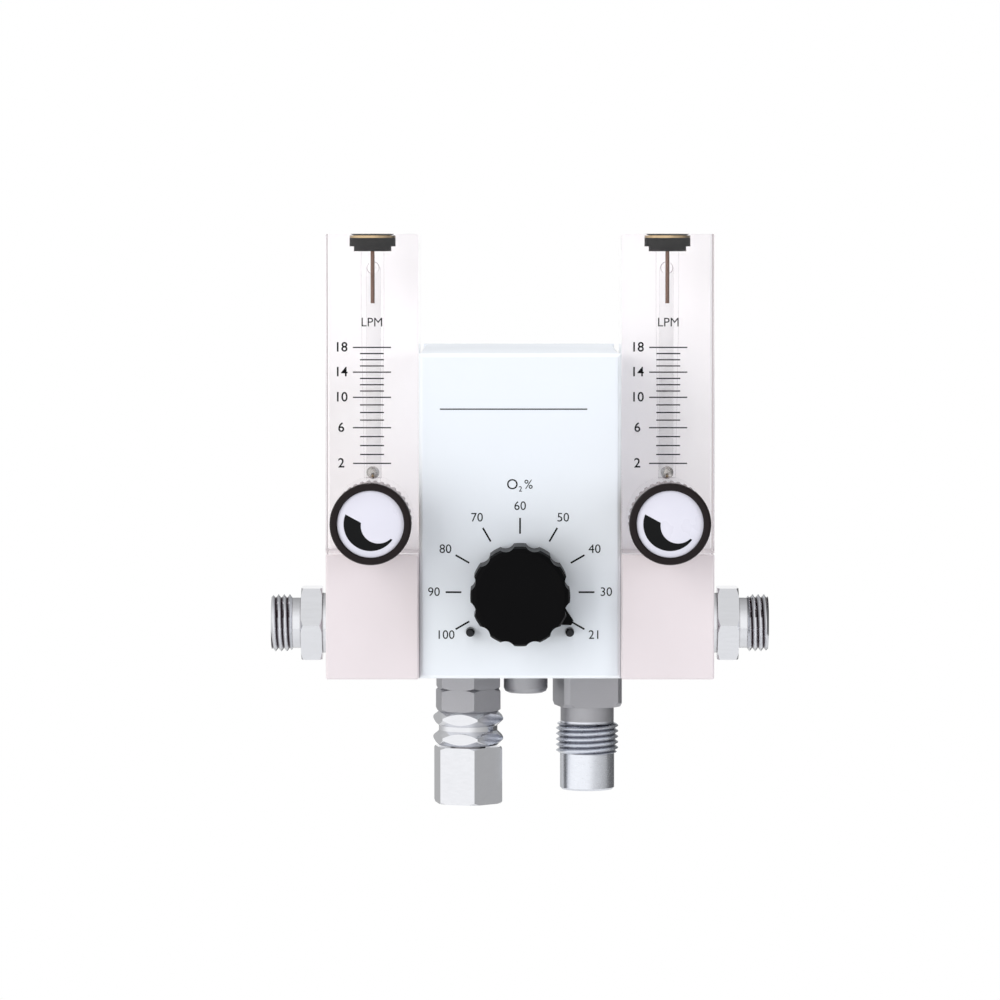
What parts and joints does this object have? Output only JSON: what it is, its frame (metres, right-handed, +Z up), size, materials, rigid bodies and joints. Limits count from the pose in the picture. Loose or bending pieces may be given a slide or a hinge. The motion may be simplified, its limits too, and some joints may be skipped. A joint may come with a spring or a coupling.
{
  "type": "medical gas blender",
  "caption": "Box-shaped air and oxygen blender with a fluted mixing dial, a clear flowmeter with its own knob and threaded outlet at each side, and gas inlets below.",
  "frame": {"origin": "middle of the rear face of the dovetail that hangs the blender on its bracket", "axes": "+X to the right seen from the front, +Y out of the back into the wall, +Z up; the dial and knobs face -Y"},
  "size_m": [0.1238, 0.1159, 0.1453],
  "materials": {
    "anodised_aluminium": "satin",
    "powder_coat": "satin",
    "printed_film": "satin",
    "steel": "machined",
    "black_oxide_steel": "satin",
    "brass": "machined",
    "black_rubber": "matt",
    "black_gloss_plastic": "gloss",
    "grey_plastic": "satin",
    "silver_plastic": "satin",
    "white_plastic": "satin",
    "chrome_plate": "polished",
    "satin_nickel": "satin",
    "clear_acrylic": "polished",
    "satin_acrylic": "satin",
    "black_glass": "polished"
  },
  "bodies": {
    "housing": {"front_panel": "anodised_aluminium", "panel_overlay": "printed_film", "panel_screws": "steel", "stop_pins": "black_oxide_steel", "housing_cover": "powder_coat", "manifold_block": "anodised_aluminium", "shaft_bush": "brass", "shaft_seal": "black_rubber", "mixing_seats": "brass", "mixing_spring": "steel", "balance_body": "anodised_aluminium", "balance_covers": "anodised_aluminium", "balance_screws": "steel", "rear_plate": "powder_coat", "rear_screws": "steel", "mount_bracket": "anodised_aluminium", "bracket_screws": "steel", "oxygen_adapter": "chrome_plate", "oxygen_check_body": "chrome_plate", "oxygen_filter": "brass", "oxygen_spring": "steel", "air_inlet": "satin_nickel", "air_filter": "brass", "air_spring": "steel", "alarm_cap": "satin_nickel", "tube_plugs": "brass", "plug_seals": "black_rubber", "stop_rods": "steel", "valve_bushes": "brass", "feed_nipples": "brass", "meter_screws": "steel", "meter_backings": "white_plastic", "backing_screws": "steel", "left_meter_base": "satin_acrylic", "left_meter_tube": "clear_acrylic", "left_outlet_fitting": "chrome_plate", "right_meter_base": "satin_acrylic", "right_meter_tube": "clear_acrylic", "right_outlet_fitting": "chrome_plate"},
    "mixing_knob": {"mixing_knob": "black_gloss_plastic", "knob_set_screw": "black_oxide_steel", "mixing_shaft": "steel"},
    "mixing_spindle": {"mixing_spindle": "steel"},
    "balance_spool": {"balance_spool": "brass"},
    "oxygen_nut": {"oxygen_nut": "chrome_plate"},
    "oxygen_poppet": {"oxygen_poppet": "white_plastic"},
    "air_poppet": {"air_poppet": "white_plastic"},
    "left_float": {"left_float_ball": "black_glass"},
    "left_stem_travel": {"left_stem_seal": "black_rubber"},
    "left_flow_knob": {"left_valve_stem": "steel", "left_knob_skirt": "grey_plastic", "left_knob_ring": "black_gloss_plastic", "left_knob_face": "silver_plastic"},
    "right_float": {"right_float_ball": "black_glass"},
    "right_stem_travel": {"right_stem_seal": "black_rubber"},
    "right_flow_knob": {"right_valve_stem": "steel", "right_knob_skirt": "grey_plastic", "right_knob_ring": "black_gloss_plastic", "right_knob_face": "silver_plastic"}
  },
  "joints": [
    {"name": "mixing_knob_turn", "type": "hinge", "parent": "housing", "child": "mixing_knob", "pos_m": [0, -0.1, -0.01875], "axis": [0, -1, 0], "range_deg": [0, 240]},
    {"name": "mixing_spindle_slide", "type": "slide", "parent": "housing", "child": "mixing_spindle", "axis": [0, 1, 0], "range_m": [0, 0.002], "deforming": ["mixing_spring"]},
    {"name": "balance_spool_slide", "type": "slide", "parent": "housing", "child": "balance_spool", "axis": [1, 0, 0], "range_m": [-0.0006, 0.0006]},
    {"name": "oxygen_nut_turn", "type": "hinge", "parent": "housing", "child": "oxygen_nut", "pos_m": [-0.01308, -0.056, -0.0683], "axis": [0, 0, 1], "continuous": true},
    {"name": "oxygen_poppet_slide", "type": "slide", "parent": "housing", "child": "oxygen_poppet", "axis": [0, 0, 1], "range_m": [0, 0.0012], "stiffness_N_per_m": 80, "springref_m": -0.002, "deforming": ["oxygen_spring"]},
    {"name": "air_poppet_slide", "type": "slide", "parent": "housing", "child": "air_poppet", "axis": [0, 0, 1], "range_m": [0, 0.0012], "stiffness_N_per_m": 80, "springref_m": -0.002, "deforming": ["air_spring"]},
    {"name": "left_float_rise", "type": "slide", "parent": "housing", "child": "left_float", "axis": [0, 0, 1], "range_m": [0, 0.0402]},
    {"name": "left_stem_slide", "type": "slide", "parent": "housing", "child": "left_stem_travel", "axis": [0, -1, 0], "range_m": [0, 0.0015]},
    {"name": "left_flow_knob_turn", "type": "hinge", "parent": "left_stem_travel", "child": "left_flow_knob", "pos_m": [-0.0365, -0.1, -0.00075], "axis": [0, -1, 0], "range_deg": [0, 720]},
    {"name": "right_float_rise", "type": "slide", "parent": "housing", "child": "right_float", "axis": [0, 0, 1], "range_m": [0, 0.0402]},
    {"name": "right_stem_slide", "type": "slide", "parent": "housing", "child": "right_stem_travel", "axis": [0, -1, 0], "range_m": [0, 0.0015]},
    {"name": "right_flow_knob_turn", "type": "hinge", "parent": "right_stem_travel", "child": "right_flow_knob", "pos_m": [0.0365, -0.1, -0.00075], "axis": [0, -1, 0], "range_deg": [0, 720]}
  ],
  "couplings": [
    {"joint": "mixing_knob_turn", "follows": "mixing_spindle_slide", "rad_per_m": 2094.4},
    {"joint": "left_flow_knob_turn", "follows": "left_stem_slide", "rad_per_m": 8377.6},
    {"joint": "right_flow_knob_turn", "follows": "right_stem_slide", "rad_per_m": 8377.6}
  ]
}
